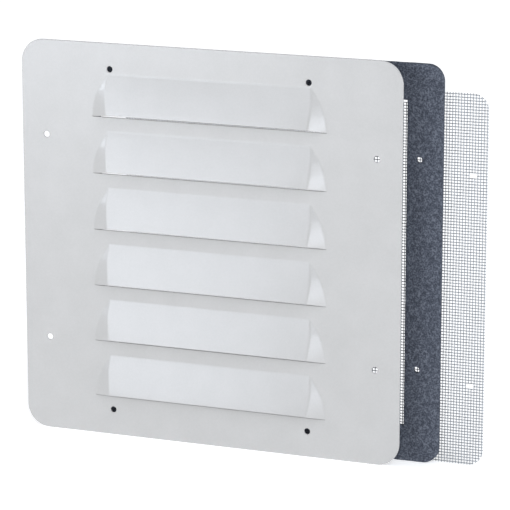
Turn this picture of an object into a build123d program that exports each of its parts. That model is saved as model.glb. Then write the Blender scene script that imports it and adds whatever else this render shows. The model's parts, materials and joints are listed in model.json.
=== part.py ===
"""Louvred vent cover kit: a pressed steel face plate, a foam gasket and a woven wire insect screen.

Frame: X to the right, Y from the face plate back into the wall, Z up. The origin is the centre of
the face plate's eight fixing holes, on its rear face. The three layers stand upright on one level,
one behind the other and each further to the right, ready to be slid together.
"""
import os
from math import sqrt

from build123d import *

# Face plate
PLATE_SIDE = 292.0
PLATE_SHEET = 1.5
PLATE_CORNER_R = 17.0
FLOOR_Z = -PLATE_SIDE / 2

# Fixing holes, shared by all three layers: four at (near, far) and four at (far, near)
HOLE_D = 4.5
HOLE_NEAR = 76.2
HOLE_FAR = 127.0

# Louvres, pressed forward out of the plate and open downwards
LOUVRE_COUNT = 6
LOUVRE_PITCH = 41.8
TOP_CUT_Z = 92.0
LOUVRE_HEIGHT = 31.5
LOUVRE_RISE = 6.0
LIP_LIFT = 1.8
LIP_HALF = 77.2
CUT_HALF = 90.0
WAIST_HALF = 88.75
WAIST_Z = 10.25
SHOULDER_HALF = 85.0
SHOULDER_Z = 20.5
TOP_HALF = 78.0

# Foam gasket
GASKET_SIDE = 288.5
GASKET_THICK = 4.0
GASKET_CORNER_R = 12.0
GASKET_WINDOW = 236.0

# Woven screen, 12 wires to the inch each way
WIRE_D = 0.61
WIRE_PITCH = 25.4 / 12
WARP_COUNT = 130
WEFT_COUNT = 127
SCREEN_CORNER_R = 12.0
CUT_OUT_CELLS_X = 3
CUT_OUT_CELLS_Z = 2

# Where the loose layers stand: shift to the right of the plate, and the y of each front face
GASKET_SHIFT_X = 25.4
GASKET_FRONT_Y = 15.5
SCREEN_SHIFT_X = 63.2
SCREEN_FRONT_Y = 22.0


def fixing_holes():
    """The (x, z) of the eight fixing holes, about the layer's centre."""
    pairs = [(HOLE_NEAR, HOLE_FAR), (HOLE_FAR, HOLE_NEAR)]
    return [(sx * x, sz * z) for x, z in pairs for sx in (-1, 1) for sz in (-1, 1)]


def upright_sheet(side, thickness, corner_r):
    """A square sheet with rounded corners, standing in XZ with its front face at y = 0."""
    with BuildSketch(Plane.XZ) as outline:
        RectangleRounded(side, side, corner_r)
    return extrude(outline.sketch, -thickness)


def drill(sheet, thickness):
    """The sheet without its eight round fixing holes."""
    for x, z in fixing_holes():
        through = Cylinder(HOLE_D / 2, 3 * thickness, rotation=(90, 0, 0))
        sheet -= Pos(x, thickness / 2, z) * through
    return sheet


def hood():
    """The solid under one louvre's surface, rising forward from y = 0, with its cut line at z = 0.

    Each end has a foot line on the plate, from the cut up through waist and shoulder to the top.
    It slopes in evenly from there to the hip line, where it meets the louvre's long face."""
    face_slope = LOUVRE_RISE / LOUVRE_HEIGHT
    end_slope = LOUVRE_RISE / (CUT_HALF - LIP_HALF)
    foot_line = [(CUT_HALF, 0), (WAIST_HALF, WAIST_Z), (SHOULDER_HALF, SHOULDER_Z)]

    def end_corners(side):
        foot, hip = [], []
        for half, z in foot_line:
            rise = face_slope * (LOUVRE_HEIGHT - z)
            foot.append(Vector(side * half, 0, z))
            hip.append(Vector(side * (half - rise / end_slope), -rise, z))
        return foot, hip, Vector(side * TOP_HALF, 0, LOUVRE_HEIGHT)

    ends = [end_corners(1), end_corners(-1)]
    (right_foot, right_hip, right_top), (left_foot, left_hip, left_top) = ends
    loops = [
        right_foot + [right_top, left_top] + left_foot[::-1],
        right_hip + [right_top, left_top] + left_hip[::-1],
        [right_foot[0], right_hip[0], left_hip[0], left_foot[0]],
    ]
    for foot, hip, top in ends:
        loops.append([foot[0], foot[1], hip[1], hip[0]])
        loops.append([foot[1], foot[2], hip[2], hip[1]])
        loops.append([foot[2], top, hip[2]])
    faces = [Face(Wire.make_polygon(loop, close=True)) for loop in loops]
    return Solid(Shell(faces))


def lip_trim():
    """What is cut off under a louvre so that its lip ends a little above the cut line."""
    reach = LOUVRE_RISE + 2
    drop = 2.0
    points = [
        (-PLATE_SHEET, 0),
        (-PLATE_SHEET - reach, LIP_LIFT * reach / LOUVRE_RISE),
        (-PLATE_SHEET - reach, -drop),
        (-PLATE_SHEET, -drop),
    ]
    with BuildSketch(Plane.YZ) as profile:
        Polygon(*points, align=None)
    return extrude(profile.sketch, CUT_HALF + 2, both=True)


def louvre_plate():
    """One pressed sheet: eight holes and six louvres of the sheet's own thickness."""
    flat = drill(upright_sheet(PLATE_SIDE, PLATE_SHEET, PLATE_CORNER_R), PLATE_SHEET)
    plate = Pos(0, -PLATE_SHEET, 0) * flat
    shell, trim = hood(), lip_trim()
    for i in range(LOUVRE_COUNT):
        at = Pos(0, 0, TOP_CUT_Z - i * LOUVRE_PITCH)
        plate = plate + at * Pos(0, -PLATE_SHEET, 0) * shell
        plate = plate - at * shell - at * trim
    return plate


def foam_gasket():
    """A flat foam frame with a square window."""
    frame = upright_sheet(GASKET_SIDE, GASKET_THICK, GASKET_CORNER_R)
    frame = drill(frame, GASKET_THICK)
    window = Box(GASKET_WINDOW, 3 * GASKET_THICK, GASKET_WINDOW)
    frame -= Pos(0, GASKET_THICK / 2, 0) * window
    z = FLOOR_Z + GASKET_SIDE / 2
    return Pos(GASKET_SHIFT_X, GASKET_FRONT_Y, z) * frame


def wire_places(count):
    """Evenly spaced wire centres, about the screen's centre."""
    return [(i - (count - 1) / 2) * WIRE_PITCH for i in range(count)]


def screen_half(count):
    """Half the screen's size across count wires: the crossing wires end half a pitch beyond."""
    return count * WIRE_PITCH / 2


def half_length(across, half_across, half_along):
    """How far a wire reaches from the centre, shorter where it runs out in a rounded corner."""
    into_corner = abs(across) - (half_across - SCREEN_CORNER_R)
    if into_corner <= 0:
        return half_along
    return half_along - SCREEN_CORNER_R + sqrt(SCREEN_CORNER_R**2 - into_corner**2)


def wire_runs(across, half_across, half_along, cut_outs, window_across, window_along):
    """The (start, end) of each length of one wire, left where cut-outs sever it."""
    reach = half_length(across, half_across, half_along)
    runs, start = [], -reach
    for centre in sorted(a for c, a in cut_outs if abs(across - c) < window_across):
        runs.append((start, centre - window_along))
        start = centre + window_along
    runs.append((start, reach))
    return runs


def straight_wire(start, end):
    """One round wire along Z from start to end."""
    return Pos(0, 0, (start + end) / 2) * Cylinder(WIRE_D / 2, end - start)


def screen_wires(vertical):
    """All the wires that run one way: the upright warp in front, the level weft behind it."""
    half_x, half_z = screen_half(WARP_COUNT), screen_half(WEFT_COUNT)
    # A severed wire ends flush with the side of the last wire that it crosses
    window_x = CUT_OUT_CELLS_X * WIRE_PITCH / 2 - WIRE_D / 2
    window_z = CUT_OUT_CELLS_Z * WIRE_PITCH / 2 - WIRE_D / 2
    wires = []
    if vertical:
        cut_outs = fixing_holes()
        for x in wire_places(WARP_COUNT):
            for run in wire_runs(x, half_x, half_z, cut_outs, window_x, window_z):
                wires.append(Pos(x, WIRE_D / 2, 0) * straight_wire(*run))
    else:
        cut_outs = [(z, x) for x, z in fixing_holes()]
        for z in wire_places(WEFT_COUNT):
            for run in wire_runs(z, half_z, half_x, cut_outs, window_z, window_x):
                wires.append(Pos(0, 1.5 * WIRE_D, z) * Rot(0, 90, 0) * straight_wire(*run))
    at = Pos(SCREEN_SHIFT_X, SCREEN_FRONT_Y, FLOOR_Z + half_z)
    return Compound(children=[at * wire for wire in wires])


def main():
    os.makedirs("parts", exist_ok=True)
    export_step(louvre_plate(), "parts/louvre_plate.step")
    export_step(foam_gasket(), "parts/foam_gasket.step")
    export_step(screen_wires(vertical=True), "parts/screen_warp_wires.step")
    export_step(screen_wires(vertical=False), "parts/screen_weft_wires.step")


main()
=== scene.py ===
"""Looks for the louvred vent cover kit: a powder-coated steel face plate, a foam gasket and a
woven wire insect screen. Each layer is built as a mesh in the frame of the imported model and
rides on its own body. Sizes are in metres; MM turns millimetres into them."""
import json
from math import cos, hypot, pi, radians, sin, sqrt

import bpy
import numpy as np
from mathutils import Matrix, Vector, noise
from mathutils.geometry import delaunay_2d_cdt


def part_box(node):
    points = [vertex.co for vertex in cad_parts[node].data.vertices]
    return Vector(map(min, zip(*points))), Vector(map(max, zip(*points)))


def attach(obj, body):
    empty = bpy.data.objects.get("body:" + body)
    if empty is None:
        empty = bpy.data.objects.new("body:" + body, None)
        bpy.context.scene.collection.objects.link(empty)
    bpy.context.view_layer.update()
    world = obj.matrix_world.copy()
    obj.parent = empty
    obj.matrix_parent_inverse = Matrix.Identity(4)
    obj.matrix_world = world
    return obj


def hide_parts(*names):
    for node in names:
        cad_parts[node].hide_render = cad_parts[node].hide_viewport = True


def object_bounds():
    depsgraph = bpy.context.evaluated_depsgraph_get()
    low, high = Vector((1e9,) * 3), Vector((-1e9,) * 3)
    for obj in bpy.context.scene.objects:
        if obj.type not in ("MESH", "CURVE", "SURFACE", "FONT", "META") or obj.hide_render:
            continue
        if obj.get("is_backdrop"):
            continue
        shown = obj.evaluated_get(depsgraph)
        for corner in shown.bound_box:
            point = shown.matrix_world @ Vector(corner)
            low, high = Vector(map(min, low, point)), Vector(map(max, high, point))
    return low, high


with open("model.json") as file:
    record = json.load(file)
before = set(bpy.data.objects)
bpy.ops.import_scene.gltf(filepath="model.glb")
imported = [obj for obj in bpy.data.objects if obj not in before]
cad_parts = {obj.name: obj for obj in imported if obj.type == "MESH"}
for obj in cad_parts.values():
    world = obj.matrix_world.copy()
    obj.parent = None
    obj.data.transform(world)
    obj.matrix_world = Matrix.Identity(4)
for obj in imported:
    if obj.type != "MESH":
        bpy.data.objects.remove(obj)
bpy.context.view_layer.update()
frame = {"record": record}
MM = 0.001

# The hole pattern that all three layers share
MOUNTS = {mount["name"]: mount for mount in frame["record"]["mounts"]}
HOLES = MOUNTS["upright_hole_pattern"]["dims"]
HOLE_NEAR = HOLES["spacing_x_mm"] / 2 * MM
HOLE_FAR = HOLES["spacing_y_mm"] / 2 * MM
HOLE_R = HOLES["hole_r_mm"] * MM

# Face plate: one sheet with six louvres pressed forward, each open downwards at a cut
SHEET = 1.5 * MM
PLATE_CORNER_R = 17 * MM
PLATE_EDGE_R = 0.45 * MM
LOUVRE_COUNT = 6
LOUVRE_PITCH = 41.8 * MM
TOP_CUT_Z = 92 * MM
LOUVRE_HEIGHT = 31.5 * MM
LOUVRE_RISE = 6 * MM
FACE_CROWN = 0.12  # the bulge of a louvre's face from top to bottom
SIDE_CROWN = 0.16  # and from side to side, as a share of its rise
LIP_LIFT = 1.8 * MM
LIP_HALF = 77.2 * MM
LIP_STEPS = 8
SHOULDER_HIP = 79.2 * MM
CUT_HALF = 90 * MM
SHOULDER_HALF = 85 * MM
SHOULDER_Z = 20.5 * MM
TOP_HALF = 78 * MM
BEND_HALF = 1.1 * MM
BEND_LINES = (-1, -0.5, 0, 0.5, 1)
BEND_BLEND = 0.3 * MM
FOOT_STEPS = 4
PLATE_GRID = 11 * MM

# Foam gasket
GASKET_CORNER_R = 12 * MM
GASKET_WINDOW = 236 * MM
GASKET_EDGE_R = 0.5 * MM
GASKET_GRID = 1.7 * MM
GASKET_UNEVEN = 0.16 * MM
GASKET_DIMPLES = 260  # to the metre
GASKET_SEED = 7

# Woven screen, 12 wires to the inch each way
WIRE_R = 0.305 * MM
WIRE_PITCH = 25.4 / 12 * MM
WARP_COUNT = 130
WEFT_COUNT = 127
WIRE_SIDES = 6
SCREEN_CORNER_R = 12 * MM
CUT_OUT_CELLS_X = 3
CUT_OUT_CELLS_Z = 2


# ---------------------------------------------------------------- camera, light and floor

def camera():
    """A long lens to the right of the plate's front and a little above it."""
    azimuth, elevation = radians(21.45), radians(13.35)
    distance, aim_right, aim_up = 2.0557, 33 * MM, -3.5 * MM
    right = Vector((cos(azimuth), sin(azimuth), 0))
    back = Vector((sin(azimuth) * cos(elevation), -cos(azimuth) * cos(elevation), sin(elevation)))
    up = back.cross(right)
    data = bpy.data.cameras.new("camera")
    data.lens = 201.9
    data.sensor_width = 36
    data.clip_end = 200
    eye = bpy.data.objects.new("camera", data)
    bpy.context.scene.collection.objects.link(eye)
    axes = Matrix((right, up, back)).transposed()
    place = right * aim_right + up * aim_up + back * distance
    eye.matrix_world = Matrix.Translation(place) @ axes.to_4x4()
    bpy.context.scene.camera = eye


COOL_WHITE = (0.92, 0.98, 1.08)
WORLD_STRENGTH = 0.42
FLOOR_HALF = 60.0
FLOOR_GLOW = 0.52


def soft_box(name, azimuth, elevation, distance, size, power):
    """A square area light that faces the origin.

    Its angles are in degrees, and azimuth is to the right of the plate's front."""
    turn, lift = radians(azimuth), radians(elevation)
    place = Vector((sin(turn) * cos(lift), -cos(turn) * cos(lift), sin(lift))) * distance
    data = bpy.data.lights.new(name, "AREA")
    data.size = size
    data.energy = power
    data.color = COOL_WHITE
    lamp = bpy.data.objects.new(name, data)
    bpy.context.scene.collection.objects.link(lamp)
    lamp.location = place
    lamp.rotation_euler = (-place).to_track_quat("-Z", "Y").to_euler()


def studio():
    """A pale room and soft boxes: low ones at both sides for the ends of the louvres and their bends,
    two in front for the louvres' faces, a high one for the shadows under the lips and one behind."""
    scene = bpy.context.scene
    scene.view_settings.view_transform = "Standard"
    world = bpy.data.worlds.new("studio")
    world.use_nodes = True
    background = world.node_tree.nodes["Background"]
    background.inputs["Color"].default_value = (1, 1, 1, 1)
    background.inputs["Strength"].default_value = WORLD_STRENGTH
    scene.world = world
    soft_box("left_side", azimuth=-66, elevation=12.5, distance=8, size=2.15, power=118)
    soft_box("left_bends", azimuth=-45, elevation=8, distance=2.6, size=0.55, power=4.0)
    soft_box("front_left", azimuth=-26, elevation=9, distance=2.6, size=0.9, power=6.3)
    soft_box("near_left", azimuth=-30, elevation=5, distance=1.2, size=0.45, power=1.35)
    soft_box("right_low", azimuth=28, elevation=0.5, distance=2.0, size=0.4, power=3.6)
    soft_box("right_side", azimuth=65, elevation=12, distance=10, size=3.46, power=390)
    soft_box("high_right", azimuth=50, elevation=50, distance=2.6, size=0.9, power=11)
    soft_box("behind", azimuth=165, elevation=25, distance=8, size=4, power=110)


def floor():
    """A wide pale floor, level with the object's lowest point."""
    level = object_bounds()[0][2]
    signs = [(-1, -1), (1, -1), (1, 1), (-1, 1)]
    corners = [(x * FLOOR_HALF, y * FLOOR_HALF, level) for x, y in signs]
    mesh = bpy.data.meshes.new("floor")
    mesh.from_pydata(corners, [], [(0, 1, 2, 3)])
    plane = bpy.data.objects.new("floor", mesh)
    bpy.context.scene.collection.objects.link(plane)
    paint, nodes, links, shader = new_material("studio_floor")
    coords = nodes.new("ShaderNodeTexCoord")
    grain = noise_node(nodes, links, coords.outputs["Object"], scale=30, detail=3)
    tint = ramp(nodes, links, grain, [(0.3, (0.88, 0.88, 0.88)), (0.7, (0.9, 0.9, 0.9))])
    links.new(tint, shader.inputs["Base Color"])
    shader.inputs["Roughness"].default_value = 0.9
    shader.inputs["Specular IOR Level"].default_value = 0.0
    shader.inputs["Emission Color"].default_value = (1, 1, 1, 1)
    shader.inputs["Emission Strength"].default_value = FLOOR_GLOW
    mesh.materials.append(paint)
    plane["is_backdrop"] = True


# ---------------------------------------------------------------- material building blocks

def new_material(name):
    """A material with an empty Principled shader: (material, nodes, links, shader)."""
    material = bpy.data.materials.new(name)
    material.use_nodes = True
    tree = material.node_tree
    return material, tree.nodes, tree.links, tree.nodes["Principled BSDF"]


def noise_node(nodes, links, vector, scale, detail=2.0, roughness=0.5):
    """A noise texture's value, with about scale features to the metre."""
    node = nodes.new("ShaderNodeTexNoise")
    node.inputs["Scale"].default_value = scale
    node.inputs["Detail"].default_value = detail
    node.inputs["Roughness"].default_value = roughness
    links.new(vector, node.inputs["Vector"])
    return node.outputs["Fac"]


def cell_node(nodes, links, vector, scale):
    """The distance to the nearest cell centre, with about scale cells to the metre."""
    node = nodes.new("ShaderNodeTexVoronoi")
    node.inputs["Scale"].default_value = scale
    links.new(vector, node.inputs["Vector"])
    return node.outputs["Distance"]


def ramp(nodes, links, value, stops):
    """A colour ramp over value through the (position, colour) stops."""
    node = nodes.new("ShaderNodeValToRGB")
    elements = node.color_ramp.elements
    while len(elements) < len(stops):
        elements.new(0.5)
    for element, (position, colour) in zip(elements, stops):
        element.position = position
        element.color = (*colour, 1)
    links.new(value, node.inputs["Fac"])
    return node.outputs["Color"]


def map_range(nodes, links, value, low, high):
    """value from 0..1 moved to low..high."""
    node = nodes.new("ShaderNodeMapRange")
    node.inputs["To Min"].default_value = low
    node.inputs["To Max"].default_value = high
    links.new(value, node.inputs["Value"])
    return node.outputs["Result"]


def blend_values(nodes, links, first, second, share):
    """first and second mixed, with that share of the second."""
    node = nodes.new("ShaderNodeMix")
    node.data_type = "FLOAT"
    node.inputs["Factor"].default_value = share
    links.new(first, node.inputs["A"])
    links.new(second, node.inputs["B"])
    return node.outputs["Result"]


def bump(nodes, links, shader, height, distance, strength):
    """The surface's small relief, from height in 0..1 over distance metres."""
    node = nodes.new("ShaderNodeBump")
    node.inputs["Distance"].default_value = distance
    node.inputs["Strength"].default_value = strength
    links.new(height, node.inputs["Height"])
    links.new(node.outputs["Normal"], shader.inputs["Normal"])


# ---------------------------------------------------------------- the three finishes

def powder_coat():
    """Light grey satin powder coat with a faint orange peel."""
    material, nodes, links, shader = new_material("powder_coat")
    place = nodes.new("ShaderNodeTexCoord").outputs["Object"]
    patches = noise_node(nodes, links, place, scale=45, detail=3)
    specks = noise_node(nodes, links, place, scale=900, detail=2)
    shade = blend_values(nodes, links, patches, specks, share=0.45)
    colour = ramp(nodes, links, shade, [(0.3, (0.432, 0.424, 0.411)), (0.7, (0.470, 0.462, 0.449))])
    links.new(colour, shader.inputs["Base Color"])
    links.new(map_range(nodes, links, patches, low=0.22, high=0.27), shader.inputs["Roughness"])
    shader.inputs["Specular IOR Level"].default_value = 0.7
    peel = noise_node(nodes, links, place, scale=520, detail=2, roughness=0.6)
    bump(nodes, links, shader, peel, distance=0.12 * MM, strength=0.35)
    return material


def foam():
    """Matt blue-grey foam with open cells on its cut faces, whose hollows are painted darker as
    painted shade.
    """
    material, nodes, links, shader = new_material("foam")
    place = nodes.new("ShaderNodeTexCoord").outputs["Object"]
    mottle = noise_node(nodes, links, place, scale=340, detail=4, roughness=0.7)
    cells = cell_node(nodes, links, place, scale=900)
    depth = blend_values(nodes, links, mottle, cells, share=0.4)
    # The ramp darkens the low points of depth, which the bump also sinks: painted shade in the cells'
    # hollows, over a random mottle of the foam's own tone.
    colour = ramp(nodes, links, depth, [
        (0.30, (0.030, 0.034, 0.046)),
        (0.50, (0.066, 0.075, 0.097)),
        (0.68, (0.135, 0.149, 0.180)),
    ])
    links.new(colour, shader.inputs["Base Color"])
    shader.inputs["Roughness"].default_value = 0.93
    shader.inputs["Specular IOR Level"].default_value = 0.25
    bump(nodes, links, shader, depth, distance=0.5 * MM, strength=0.8)
    return material


def wire_metal(name, grain_axis):
    """Bright drawn wire with faint streaks along it: grain_axis is the axis that it runs on."""
    material, nodes, links, shader = new_material(name)
    coords = nodes.new("ShaderNodeTexCoord")
    stretch = nodes.new("ShaderNodeMapping")
    stretch.inputs["Scale"].default_value = [0.08 if axis == grain_axis else 1 for axis in "XYZ"]
    links.new(coords.outputs["Object"], stretch.inputs["Vector"])
    streaks = noise_node(nodes, links, stretch.outputs["Vector"], scale=2400, detail=2)
    colour = ramp(nodes, links, streaks, [(0.3, (0.27, 0.29, 0.312)), (0.7, (0.375, 0.40, 0.428))])
    links.new(colour, shader.inputs["Base Color"])
    links.new(map_range(nodes, links, streaks, low=0.3, high=0.42), shader.inputs["Roughness"])
    shader.inputs["Metallic"].default_value = 1.0
    return material


# ---------------------------------------------------------------- flat shapes, as loops in x and z

def middle_of(low, high):
    """The x and z of the middle of the layer between those two corners."""
    return ((low.x + high.x) / 2, (low.z + high.z) / 2)


def fixing_holes(centre):
    """The centres of the eight holes in a layer whose own centre is there."""
    pairs = [(HOLE_NEAR, HOLE_FAR), (HOLE_FAR, HOLE_NEAR)]
    return [
        (centre[0] + sx * x, centre[1] + sz * z)
        for x, z in pairs for sx in (-1, 1) for sz in (-1, 1)
    ]


def circle(centre, radius, steps=32):
    """A round loop of that many points."""
    return [
        (centre[0] + radius * cos(2 * pi * i / steps), centre[1] + radius * sin(2 * pi * i / steps))
        for i in range(steps)
    ]


def rounded_square(centre, half, corner_r, steps=14):
    """A square of that half side with rounded corners."""
    loop = []
    for quarter, (sx, sz) in enumerate([(1, 1), (-1, 1), (-1, -1), (1, -1)]):
        middle = (centre[0] + sx * (half - corner_r), centre[1] + sz * (half - corner_r))
        for i in range(steps + 1):
            angle = pi / 2 * (quarter + i / steps)
            loop.append((middle[0] + corner_r * cos(angle), middle[1] + corner_r * sin(angle)))
    return loop


def divided(loop, longest):
    """The loop with points added so that no side is longer than that."""
    points = []
    for (x0, z0), (x1, z1) in zip(loop, loop[1:] + loop[:1]):
        parts = max(1, round(hypot(x1 - x0, z1 - z0) / longest))
        points += [(x0 + (x1 - x0) * i / parts, z0 + (z1 - z0) * i / parts) for i in range(parts)]
    return points


def inside(points, loop):
    """Which of the points lie inside the loop."""
    x, z = points[:, 0], points[:, 1]
    hit = np.zeros(len(points), bool)
    for (x0, z0), (x1, z1) in zip(loop, loop[1:] + loop[:1]):
        if z0 != z1:
            crosses = (z0 > z) != (z1 > z)
            hit ^= crosses & (x < (x1 - x0) * (z - z0) / (z1 - z0) + x0)
    return hit


def offset_line(points, distance):
    """An open line moved sideways, to its left, with its corners kept."""
    line = [Vector(p) for p in points]
    sides = []
    for a, b in zip(line, line[1:]):
        along = (b - a).normalized()
        sides.append(Vector((-along.y, along.x)))
    moved = []
    for i, point in enumerate(line):
        before, after = sides[max(i - 1, 0)], sides[min(i, len(sides) - 1)]
        moved.append(tuple(point + (before + after) * distance / (1 + before.dot(after))))
    return moved


# ---------------------------------------------------------------- a sheet with thickness

def triangles_between(loops, lines, loose):
    """Triangles of the area inside the first loop and outside the others, with edges on lines."""
    whole_hull, merge_distance = 0, 1e-7
    points, edges = list(loose), []
    for loop in loops:
        first = len(points)
        points += loop
        edges += [(first + i, first + (i + 1) % len(loop)) for i in range(len(loop))]
    for line in lines:
        first = len(points)
        points += line
        edges += [(first + i, first + i + 1) for i in range(len(line) - 1)]
    found = delaunay_2d_cdt([Vector(p) for p in points], edges, [], whole_hull, merge_distance)
    spots, faces = np.array([tuple(p) for p in found[0]]), np.array(found[2])
    middles = spots[faces].mean(axis=1)
    keep = inside(middles, loops[0])
    for loop in loops[1:]:
        keep &= ~inside(middles, loop)
    faces = faces[keep]
    used, faces = np.unique(faces, return_inverse=True)
    return spots[used], faces.reshape(-1, 3)


def rim_loops(faces):
    """The closed loops of edges that only one triangle has, with the sheet on their left."""
    sides = {(int(a), int(b)) for face in faces for a, b in zip(face, np.roll(face, -1))}
    after = {a: b for a, b in sides if (b, a) not in sides}
    loops = []
    while after:
        start, point = after.popitem()
        loop = [start]
        while point != start:
            loop.append(point)
            point = after.pop(point)
        loops.append(loop)
    return loops


def outward(spots):
    """At each point of a closed loop, the sideways step away from the sheet on its left.

    It is longer at a corner, to keep the rim's width, but only up to a limit."""
    mitre_limit = 0.6
    ahead = np.roll(spots, -1, axis=0) - spots
    ahead /= np.linalg.norm(ahead, axis=1)[:, None]
    side = np.stack([ahead[:, 1], -ahead[:, 0]], axis=1)
    both = side + np.roll(side, 1, axis=0)
    return both / np.maximum(mitre_limit, (both**2).sum(axis=1) / 2)[:, None]


def rim_profile(thickness, edge_r, steps=3):
    """The (outward, rearward) steps of a rim with round edges, from the front to the rear."""
    turns = [pi / 2 * i / steps for i in range(1, steps + 1)]
    profile = [(sin(a) * edge_r, edge_r - cos(a) * edge_r) for a in turns]
    return profile + [(out, thickness - deep) for out, deep in reversed(profile)]


def sheet_mesh(name, spots, faces, front_y, thickness, edge_r):
    """A solid sheet: a front at front_y, a rear a thickness behind it, and rims with round edges.

    The flat triangles stop edge_r short of the real edge, and the rims reach it."""
    count = len(spots)
    front = np.stack([spots[:, 0], front_y, spots[:, 1]], axis=1)
    rear = front + (0, thickness, 0)
    vertices = [front, rear]
    polygons = [tuple(f) for f in faces] + [tuple(f[::-1] + count) for f in faces]
    total = 2 * count
    for loop in rim_loops(faces):
        loop = np.array(loop)
        step = outward(spots[loop])
        rings = [loop]
        for out, deep in rim_profile(thickness, edge_r):
            ring = front[loop] + (0, deep, 0)
            ring[:, 0] += step[:, 0] * out
            ring[:, 2] += step[:, 1] * out
            vertices.append(ring)
            rings.append(total + np.arange(len(loop)))
            total += len(loop)
        rings.append(loop + count)
        for near, far in zip(rings, rings[1:]):
            near_next, far_next = np.roll(near, -1), np.roll(far, -1)
            polygons += [tuple(q) for q in np.stack([near, far, far_next, near_next], axis=1)]
    mesh = bpy.data.meshes.new(name)
    mesh.from_pydata(np.concatenate(vertices).tolist(), [], [[int(i) for i in p] for p in polygons])
    mesh.shade_smooth()
    mesh.update()
    return mesh


def add_piece(name, mesh, material, body, nodes):
    """Puts a finished mesh into the scene in place of CAD nodes."""
    piece = bpy.data.objects.new(name, mesh)
    bpy.context.scene.collection.objects.link(piece)
    mesh.materials.append(material)
    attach(piece, body)
    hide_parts(*nodes)
    return piece


def flat_face_normals(piece):
    """Keeps the large flat faces flat to the eye beside the narrow strips of the bends."""
    weighted = piece.modifiers.new("flat_faces", "WEIGHTED_NORMAL")
    weighted.mode = "FACE_AREA"
    weighted.weight = 50


# ---------------------------------------------------------------- face plate

def foot_half(z):
    """Half the louvre's width where its ends meet the plate, z above the cut, up to the shoulder."""
    return CUT_HALF - (CUT_HALF - SHOULDER_HALF) * (z / SHOULDER_Z) ** 2


def face_rise(z):
    """How far forward the louvre's long face stands, z above the cut. It is slightly crowned."""
    share = z / LOUVRE_HEIGHT
    return LOUVRE_RISE * (1 - share) * (1 + FACE_CROWN * share)


def hip_half(z):
    """Half the louvre's width where its long face meets its ends, up to the shoulder."""
    return LIP_HALF + (SHOULDER_HIP - LIP_HALF) * z / SHOULDER_Z


def end_slope(z):
    """How steeply the ends rise from their foot, z above the cut.

    It stays the same past the shoulder."""
    z = np.minimum(z, SHOULDER_Z)
    return face_rise(z) / (foot_half(z) - hip_half(z))


# The facet at a louvre's upper corner: the run of its foot, the way in from there, and its slope
CORNER_RUN = Vector((TOP_HALF - SHOULDER_HALF, LOUVRE_HEIGHT - SHOULDER_Z)).normalized()
CORNER_IN = (-CORNER_RUN.y, CORNER_RUN.x)
CORNER_SLOPE = face_rise(SHOULDER_Z) / ((hip_half(SHOULDER_Z) - SHOULDER_HALF) * CORNER_IN[0])


def smooth_min(a, b, reach):
    """The lower of a and b, rounded over where they are within reach of each other."""
    closeness = np.maximum(reach - np.abs(a - b), 0)
    return np.minimum(a, b) - closeness**2 / (4 * reach)


def louvre_rise(x, z):
    """How far the louvre stands forward at x, z above its cut, with rounded bends."""
    x = np.abs(x)
    face = face_rise(z) * (1 + SIDE_CROWN * (1 - (x / LIP_HALF) ** 4))
    steepness = end_slope(z)
    end = steepness * (foot_half(z) - x)
    corner = CORNER_SLOPE * ((x - SHOULDER_HALF) * CORNER_IN[0] + (z - SHOULDER_Z) * CORNER_IN[1])
    face_slope = LOUVRE_RISE / LOUVRE_HEIGHT
    end_reach = steepness * BEND_HALF
    rise = smooth_min(smooth_min(end, corner, end_reach), face, end_reach)
    # The bend at the foot is as wide everywhere, so its reach follows the slope that meets it
    shares = [np.exp(np.minimum(rise - side, 0) / BEND_BLEND) for side in (face, end, corner)]
    reaches = [slope * BEND_HALF for slope in (face_slope, steepness, CORNER_SLOPE)]
    foot_reach = sum(share * reach for share, reach in zip(shares, reaches)) / sum(shares)
    return -smooth_min(-rise, 0 * rise, foot_reach)


def plate_rise(spots, plate_centre_z):
    """How far the plate's front stands forward of its flat at each spot."""
    rounding = 1e-6
    z = spots[:, 1] - plate_centre_z
    steps = np.clip(np.ceil((TOP_CUT_Z - z) / LOUVRE_PITCH - rounding), 0, LOUVRE_COUNT - 1)
    above_cut = z - (TOP_CUT_Z - steps * LOUVRE_PITCH)
    rise = louvre_rise(spots[:, 0], above_cut)
    return np.where((above_cut >= 0) & (above_cut < LOUVRE_HEIGHT + 2 * BEND_HALF), rise, 0)


def lip_height(x):
    """How far above its cut the louvre's lip is."""
    return LIP_LIFT * float(louvre_rise(np.array([x]), np.array([0.0]))[0]) / LOUVRE_RISE


def slit(cut_z):
    """The opening under one louvre, as seen from the front, grown by the edge radius.

    Its upper edge is the lip, with enough points to follow the crowned face."""
    near_hip = [LIP_HALF + BEND_HALF * line for line in reversed(BEND_LINES)]
    lip = [LIP_HALF * i / LIP_STEPS for i in range(LIP_STEPS - 1, -LIP_STEPS, -1)]
    right = [CUT_HALF, (CUT_HALF + LIP_HALF) / 2, *near_hip]
    across = right + lip + [-x for x in reversed(right)]
    upper = [(x, cut_z + lip_height(x) + PLATE_EDGE_R) for x in across]
    left_tip, right_tip = -CUT_HALF - PLATE_EDGE_R, CUT_HALF + PLATE_EDGE_R
    lower = [(-CUT_HALF, cut_z - PLATE_EDGE_R), (CUT_HALF, cut_z - PLATE_EDGE_R)]
    return [(right_tip, cut_z), *upper, (left_tip, cut_z), *lower]


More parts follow.
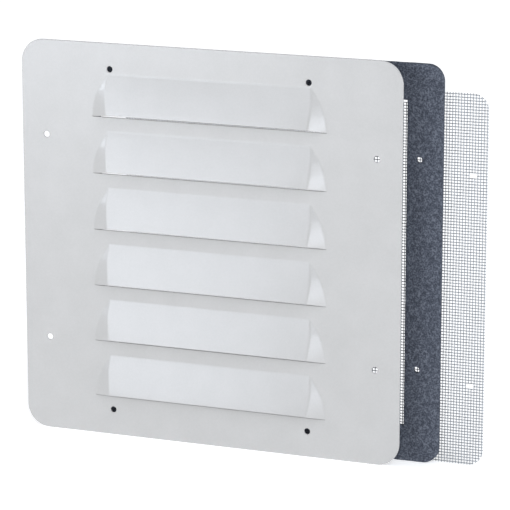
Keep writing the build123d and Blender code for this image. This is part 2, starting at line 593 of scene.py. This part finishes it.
def bend_lines(cut_z):
    """Lines along every bend of one louvre, and beside it where the bend begins and ends."""
    heights = [SHOULDER_Z * i / FOOT_STEPS for i in range(FOOT_STEPS + 1)]
    foot = [(foot_half(z), z) for z in heights] + [(TOP_HALF, LOUVRE_HEIGHT)]
    foot += [(-x, z) for x, z in reversed(foot)]
    hip = [(hip_half(z), z) for z in heights] + [(TOP_HALF, LOUVRE_HEIGHT)]
    brow = [(hip_half(SHOULDER_Z), SHOULDER_Z), (SHOULDER_HALF, SHOULDER_Z)]
    lines = [foot]
    for side in (1, -1):
        lines += [[(side * x, z) for x, z in line] for line in (hip, brow)]
    return [
        [(x, z + cut_z) for x, z in offset_line(line, BEND_HALF * aside)]
        for line in lines for aside in BEND_LINES
    ]


def plate_grid(centre, half):
    """Loose points all over the plate."""
    count = int(half / PLATE_GRID)
    ticks = [i * PLATE_GRID for i in range(-count, count + 1)]
    return [(centre[0] + x, centre[1] + z) for x in ticks for z in ticks]


def make_plate():
    """The pressed sheet with its eight holes and six louvres."""
    low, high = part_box("louvre_plate")
    centre = middle_of(low, high)
    half = (high.x - low.x) / 2
    cuts = [centre[1] + TOP_CUT_Z - i * LOUVRE_PITCH for i in range(LOUVRE_COUNT)]
    loops = [rounded_square(centre, half - PLATE_EDGE_R, PLATE_CORNER_R - PLATE_EDGE_R)]
    loops += [circle(hole, HOLE_R + PLATE_EDGE_R) for hole in fixing_holes(centre)]
    loops += [slit(z) for z in cuts]
    lines = [line for z in cuts for line in bend_lines(z)]
    spots, faces = triangles_between(loops, lines, plate_grid(centre, half - PLATE_CORNER_R / 2))
    front_y = high.y - SHEET - plate_rise(spots, centre[1])
    mesh = sheet_mesh("face_plate", spots, faces, front_y, SHEET, PLATE_EDGE_R)
    piece = add_piece("face_plate", mesh, powder_coat(), "face_plate", ["louvre_plate"])
    flat_face_normals(piece)


# ---------------------------------------------------------------- foam gasket

def foam_grid(centre, half):
    """Loose points in staggered rows all over the gasket."""
    rows = int(2 * half / (GASKET_GRID * sqrt(3) / 2))
    columns = int(2 * half / GASKET_GRID)
    points = []
    for row in range(rows):
        z = centre[1] - half + (row + 0.5) * 2 * half / rows
        shift = 0.25 if row % 2 else 0.75
        points += [(centre[0] - half + (i + shift) * 2 * half / columns, z) for i in range(columns)]
    return points


def uneven(mesh, depth, grain, seed):
    """Moves each point of the mesh a little, as cut foam is never quite flat."""
    noise.seed_set(seed)
    for vertex in mesh.vertices:
        vertex.co += noise.noise_vector(vertex.co * grain) * depth
    mesh.update()


def make_gasket():
    """The foam frame with its window and eight holes."""
    low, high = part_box("foam_gasket")
    centre = middle_of(low, high)
    half = (high.x - low.x) / 2
    outer = rounded_square(centre, half - GASKET_EDGE_R, GASKET_CORNER_R - GASKET_EDGE_R)
    window = rounded_square(centre, GASKET_WINDOW / 2 + GASKET_EDGE_R, GASKET_EDGE_R, steps=3)
    loops = [divided(outer, GASKET_GRID), divided(window, GASKET_GRID)]
    loops += [circle(hole, HOLE_R + GASKET_EDGE_R, steps=20) for hole in fixing_holes(centre)]
    loose = np.array(foam_grid(centre, half - GASKET_GRID))
    kept_clear = rounded_square(centre, GASKET_WINDOW / 2 + GASKET_GRID, GASKET_GRID)
    loose = loose[~inside(loose, kept_clear)]
    spots, faces = triangles_between(loops, [], [tuple(p) for p in loose])
    front_y = np.full(len(spots), low.y)
    mesh = sheet_mesh("foam_gasket", spots, faces, front_y, high.y - low.y, GASKET_EDGE_R)
    uneven(mesh, GASKET_UNEVEN, GASKET_DIMPLES, GASKET_SEED)
    piece = add_piece("gasket", mesh, foam(), "gasket", ["foam_gasket"])


# ---------------------------------------------------------------- woven screen

def half_length(across, half_across, half_along):
    """How far a wire reaches from the middle, shorter where it runs out in a rounded corner."""
    into_corner = abs(across) - (half_across - SCREEN_CORNER_R)
    if into_corner <= 0:
        return half_along
    return half_along - SCREEN_CORNER_R + sqrt(SCREEN_CORNER_R**2 - into_corner**2)


def wire_runs(across, half_across, half_along, cut_outs, window_across, window_along):
    """The (start, end) of each length of one wire, left where cut-outs sever it."""
    reach = half_length(across, half_across, half_along)
    runs, start = [], -reach
    for middle in sorted(a for c, a in cut_outs if abs(across - c) < window_across):
        runs.append((start, middle - window_along))
        start = middle + window_along
    runs.append((start, reach))
    return runs


def weave(index, along, crossing_count):
    """1 where the wire passes in front of the one it crosses, -1 where behind, even in between."""
    turn = (along / WIRE_PITCH + (crossing_count - 1) / 2 + index) % 2
    return 2 * abs(turn - 1) - 1


def wire_stations(start, end, crossing_count):
    """Where the wire's shape is set: its two ends and each crossing between them."""
    crossings = [(k - (crossing_count - 1) / 2) * WIRE_PITCH for k in range(crossing_count)]
    return [start] + [c for c in crossings if start + WIRE_R < c < end - WIRE_R] + [end]


def tube(vertices, polygons, rings):
    """Adds a closed tube through the rings of points."""
    first = len(vertices)
    for ring in rings:
        vertices += ring
    for i in range(len(rings) - 1):
        a = first + i * WIRE_SIDES
        for j in range(WIRE_SIDES):
            k = (j + 1) % WIRE_SIDES
            polygons.append((a + j, a + k, a + WIRE_SIDES + k, a + WIRE_SIDES + j))
    last = first + (len(rings) - 1) * WIRE_SIDES
    polygons.append(tuple(range(first + WIRE_SIDES - 1, first - 1, -1)))
    polygons.append(tuple(range(last, last + WIRE_SIDES)))


def wire_bundle(name, upright, indices, centre, middle_y):
    """The wires that run one way, as woven tubes: those with the given indices."""
    count, crossing_count = WARP_COUNT, WEFT_COUNT
    cells_across, cells_along = CUT_OUT_CELLS_X, CUT_OUT_CELLS_Z
    cut_outs, front = fixing_holes((0, 0)), -WIRE_R
    if not upright:
        count, crossing_count = crossing_count, count
        cells_across, cells_along = cells_along, cells_across
        cut_outs, front = [(z, x) for x, z in cut_outs], WIRE_R
    half_across, half_along = count * WIRE_PITCH / 2, crossing_count * WIRE_PITCH / 2
    window_across = cells_across * WIRE_PITCH / 2 - WIRE_R
    window_along = cells_along * WIRE_PITCH / 2 - WIRE_R
    ring = circle((0, 0), WIRE_R, WIRE_SIDES)
    vertices, polygons = [], []
    for index in indices:
        across = (index - (count - 1) / 2) * WIRE_PITCH
        for run in wire_runs(across, half_across, half_along, cut_outs, window_across, window_along):
            rings = []
            for along in wire_stations(*run, crossing_count):
                y = middle_y + front * weave(index, along, crossing_count)
                if upright:
                    rings.append([(centre[0] + across + u, y + v, centre[1] + along) for u, v in ring])
                else:
                    rings.append([(centre[0] + along, y + u, centre[1] + across + v) for u, v in ring])
            tube(vertices, polygons, rings)
    mesh = bpy.data.meshes.new(name)
    mesh.from_pydata(vertices, [], polygons)
    mesh.shade_smooth()
    return mesh


def make_screen():
    """The wire cloth, as two bundles of wires each way, so that no mesh is too large."""
    low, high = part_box("screen_warp_wires")
    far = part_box("screen_weft_wires")[1]
    centre = middle_of(low, high)
    middle_y = (low.y + far.y) / 2
    for upright, node, slot, count, ends in (
        (True, "screen_warp_wires", "warp_wire", WARP_COUNT, ("left", "right")),
        (False, "screen_weft_wires", "weft_wire", WEFT_COUNT, ("lower", "upper")),
    ):
        metal = wire_metal(slot, "Z" if upright else "X")
        middle = count // 2
        for end, indices in zip(ends, (range(middle), range(middle, count))):
            name = f"{slot}s_{end}"
            mesh = wire_bundle(name, upright, indices, centre, middle_y)
            add_piece(name, mesh, metal, "screen", [node])


camera()
studio()
floor()
make_plate()
make_gasket()
make_screen()
